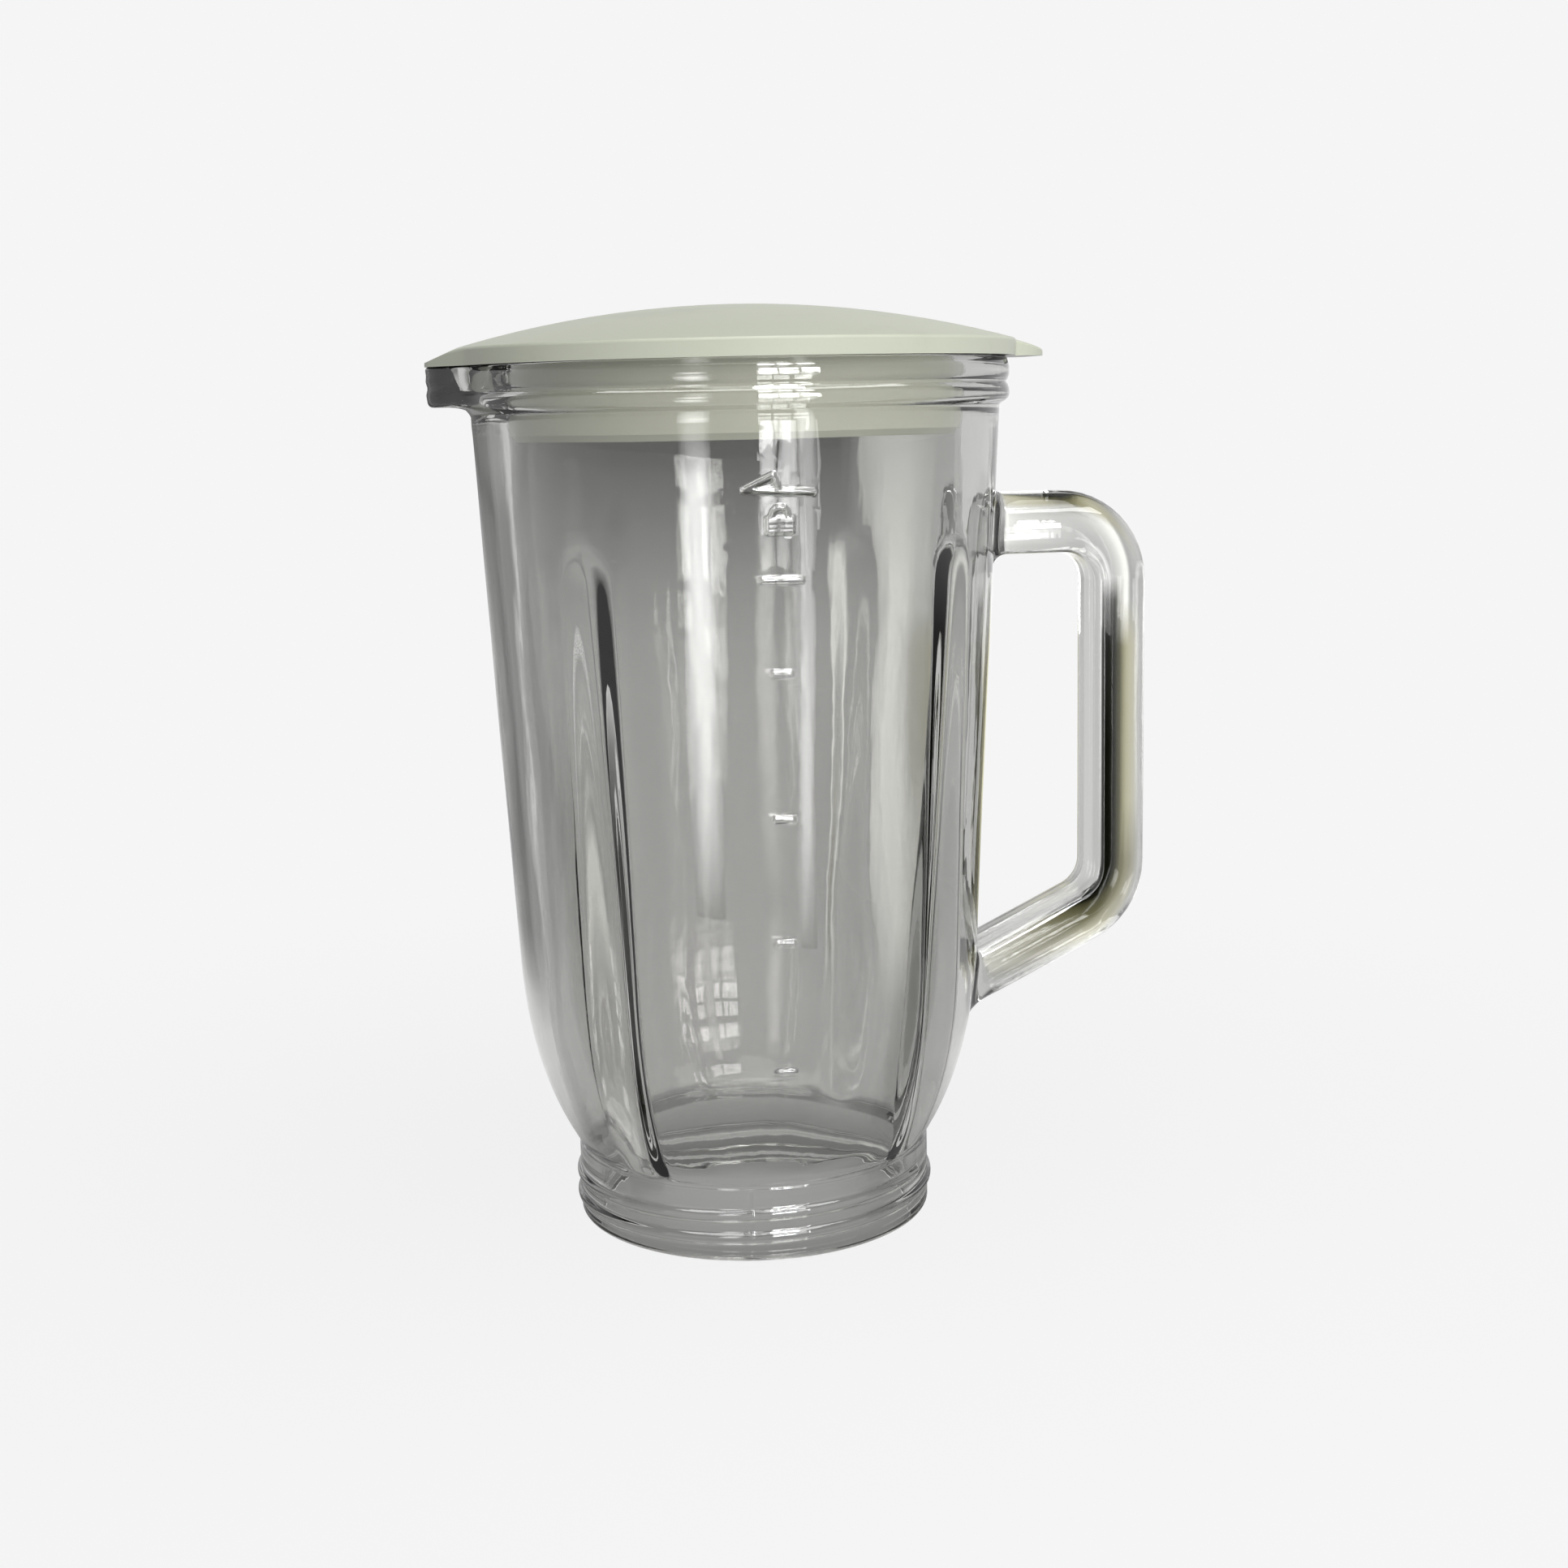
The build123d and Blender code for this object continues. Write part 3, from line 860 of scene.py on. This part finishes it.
# Daylight in a pane: white, and softer at its sides. It shows only to a ray that was mirrored
# sharply, so it lights nothing and is clear to all else.
daylight, tree = new_material("daylight")
tree.nodes.remove(tree.nodes["Principled BSDF"])
pane_shine = add_node(tree, "ShaderNodeAttribute", {"attribute_name": "shine"})
bright = add_node(tree, "ShaderNodeEmission", None, {"Strength": pane_shine.outputs["Fac"]})
clear = add_node(tree, "ShaderNodeBsdfTransparent")
path = add_node(tree, "ShaderNodeLightPath")
mirrored = add_node(tree, "ShaderNodeMath", {"operation": "MULTIPLY", "use_clamp": True},
                    {0: path.outputs["Glossy Depth"], 1: path.outputs["Is Singular Ray"]})
pane = add_node(tree, "ShaderNodeMixShader", None,
                {0: mirrored.outputs[0], 1: clear.outputs[0], 2: bright.outputs[0]})
tree.links.new(pane.outputs[0], tree.nodes["Material Output"].inputs["Surface"])
window_mesh.materials.append(daylight)
windows.visible_camera = False
windows.visible_diffuse = False
windows.visible_shadow = False

# ---------------------------------------------------------------------------------------------
# Cards: sheets of black and toned cloth beside and behind the jar that only the glass sees, as
# a photographer sets them to draw a dark line along each edge of clear glass, and black sheets of
# painted shade on the floor round the foot.

cards = {"points": [], "faces": [], "cover": [], "tone": [], "mirrored": []}
black_code = "#15160F"
black = linear(black_code)

# A screen round the back: dark at the top, darker at the left, with a bright gap at the right
# that glows at almost twice white, a painted light
screen_radius = 0.19
gap_angle = 64
gap_brightness = 1.8
turns = [146, 140, 128, 116, 104, 96, 88, 78, 70, 66.5, 64.5, 63.5, 60.5, 57, 53, 47]
heights = [0.002, 0.03, 0.07, 0.10, 0.118, 0.136, 0.156, 0.176, 0.20, 0.23]
top_dark = np.outer([0, 0.05, 0.06, 0.08, 0.15, 0.32, 0.60, 0.80, 0.88, 0],
                    [0, 0.5, 0.8, 0.9, 0.95, 1, 1, 1, 1, 1, 0.7, 0, 0, 0, 0, 0])
side_dark = np.outer([0, 0.9, 1, 1, 1, 1, 1, 0.8, 0.5, 0],
                     [0, 0.7, 0.78, 0.46, 0.15, 0, 0, 0, 0.1, 0.14, 0.1, 0, 0, 0, 0, 0])
bright_gap = np.outer([0, 0.7, 0.9, 1, 1, 0.95, 0.7, 0.4, 0.4, 0],
                      [0, 0, 0, 0, 0, 0, 0, 0, 0, 0, 0, 0.1, 1, 1, 0.5, 0])
# The gap's glow, brighter than white: painted light
gap_glow = tuple(gap_brightness * c for c in linear("#FFFFFC"))
sheet(cards, [[(screen_radius * cos(radians(q)), screen_radius * sin(radians(q)), z) for q in turns]
              for z in heights],
      cover=np.maximum(np.maximum(top_dark, side_dark), bright_gap),
      tone=[[c for q in turns for c in (black if q > gap_angle else gap_glow)]] * len(heights),
      mirrored=np.zeros(top_dark.shape))

# A narrow card beside each front rib, with a foot on the floor, which the rib's flank mirrors
rib_card_x = 0.0355
rib_card_y = -0.0325
rib_card_radius = 0.062
rib_card_foot = 0.0005
rib_card_points = 13
edge_ramp = 6
inwards = np.minimum(np.linspace(0, 1, rib_card_points), np.linspace(1, 0, rib_card_points))
edge = np.minimum(1, edge_ramp * inwards)
for x, first, last, card_top in ((-rib_card_x, 156, 206, 0.117), (rib_card_x, 318, 360, 0.15)):
    turns = np.radians(np.linspace(first, last, rib_card_points))
    track = [(0.026, rib_card_foot, 0), (0.034, rib_card_foot, 1), (rib_card_radius, rib_card_foot, 1),
             (rib_card_radius, 0.05, 1), (rib_card_radius, card_top - 0.05, 1),
             (rib_card_radius, card_top - 0.02, 0.7), (rib_card_radius, card_top, 0)]
    sheet(cards, [[(x + r * cos(a), rib_card_y + r * sin(a), z) for a in turns] for r, z, _ in track],
          cover=[cover * edge for _, _, cover in track],
          tone=[black * rib_card_points] * len(track), mirrored=np.ones((len(track), rib_card_points)))

# A card behind the grip that goes from black to cream, and to olive lower down
grip_card_y = 0.065
olive_below = 0.07
narrow_above = 0.13
places = [0.124, 0.121, 0.116, 0.110, 0.105, 0.1015, 0.097, 0.090, 0.080, 0.070, 0.062]
edge = np.array([0, 1, 1, 1, 1, 1, 1, 0.9, 0.8, 0.5, 0])
top_edge = np.array([0, 0.6, 1, 1, 1, 0.6, 0, 0, 0, 0, 0])
dark_tones = [black_code] * 4 + ["#23231A", "#6A684C"]
cream_tones = ["#CCC8A4", "#F2EECB", "#F8F5DE", "#F6F4EA", "#F5F5F0"]
olive_tones = ["#8F8C6C", "#A8A588", "#B5B29A", "#C2C0AC", "#D5D3C6"]
track = [(0.026, 0), (0.036, 1), (0.06, 1), (0.08, 1), (0.108, 1), (0.122, 1), (0.134, 0.9), (0.140, 0)]
sheet(cards, [[(x, grip_card_y, z) for x in places] for z, _ in track],
      cover=[cover * (edge if z < narrow_above else top_edge) for z, cover in track],
      tone=[[c for code in dark_tones + (olive_tones if z < olive_below else cream_tones)
             for c in linear(code)] for z, _ in track],
      mirrored=np.zeros((len(track), len(places))))

# Painted shade on the floor inside the collar and close round it, where thick glass would keep
# the light off: black sheets that only the glass sees. A distance from the jar's middle and how
# dark it is there
shade_height = 0.0002
shade_points = 49
inner_shade = [(0.0, 0.4), (0.02, 0.45), (0.0365, 0.6)]
outer_shade = [(0.0415, 0.65), (0.055, 0.6), (0.075, 0.4), (0.11, 0)]
turns = np.radians(np.linspace(0, 360, shade_points))
for track in (inner_shade, outer_shade):
    sheet(cards, [[(r * cos(a), r * sin(a), shade_height) for a in turns] for r, _ in track],
          cover=[[cover] * shade_points for _, cover in track],
          tone=[black * shade_points] * len(track), mirrored=np.zeros((len(track), shade_points)))

card_mesh = bpy.data.meshes.new("cards")
card_mesh.from_pydata(cards["points"], [], cards["faces"])
card_mesh.attributes.new("cover", "FLOAT", "POINT").data.foreach_set("value", cards["cover"])
card_mesh.attributes.new("tone", "FLOAT_COLOR", "POINT").data.foreach_set("color", cards["tone"])
card_mesh.attributes.new("mirrored", "FLOAT", "POINT").data.foreach_set("value", cards["mirrored"])
card_sheets = put_in_scene("cards", card_mesh)

# Dyed cotton velvet swallows light, so a card shows its own even tone and no shine: the tone is
# drawn as a glow that takes no lamp. The same material draws the black sheets of painted shade on
# the floor and the glowing gap. The cards beside the ribs show only to a ray that the glass has
# mirrored.
velvet_and_painted_shade, tree = new_material("velvet_and_painted_shade_cards")
tree.nodes.remove(tree.nodes["Principled BSDF"])
card_tone = add_node(tree, "ShaderNodeAttribute", {"attribute_name": "tone"})
card_glow = add_node(tree, "ShaderNodeEmission", None, {"Color": card_tone.outputs["Color"]}, Strength=1.0)
clear = add_node(tree, "ShaderNodeBsdfTransparent")
card_cover = add_node(tree, "ShaderNodeAttribute", {"attribute_name": "cover"})
only_mirrored = add_node(tree, "ShaderNodeAttribute", {"attribute_name": "mirrored"})
path = add_node(tree, "ShaderNodeLightPath")
hidden = add_node(tree, "ShaderNodeMath", {"operation": "SUBTRACT", "use_clamp": True},
                  {0: only_mirrored.outputs["Fac"], 1: path.outputs["Glossy Depth"]})
showing = add_node(tree, "ShaderNodeMath", {"operation": "SUBTRACT", "use_clamp": True},
                   {0: card_cover.outputs["Fac"], 1: hidden.outputs[0]})
card = add_node(tree, "ShaderNodeMixShader", None,
                {0: showing.outputs[0], 1: clear.outputs[0], 2: card_glow.outputs[0]})
tree.links.new(card.outputs[0], tree.nodes["Material Output"].inputs["Surface"])
card_mesh.materials.append(velvet_and_painted_shade)
card_sheets.visible_camera = False
card_sheets.visible_diffuse = False
card_sheets.visible_shadow = False
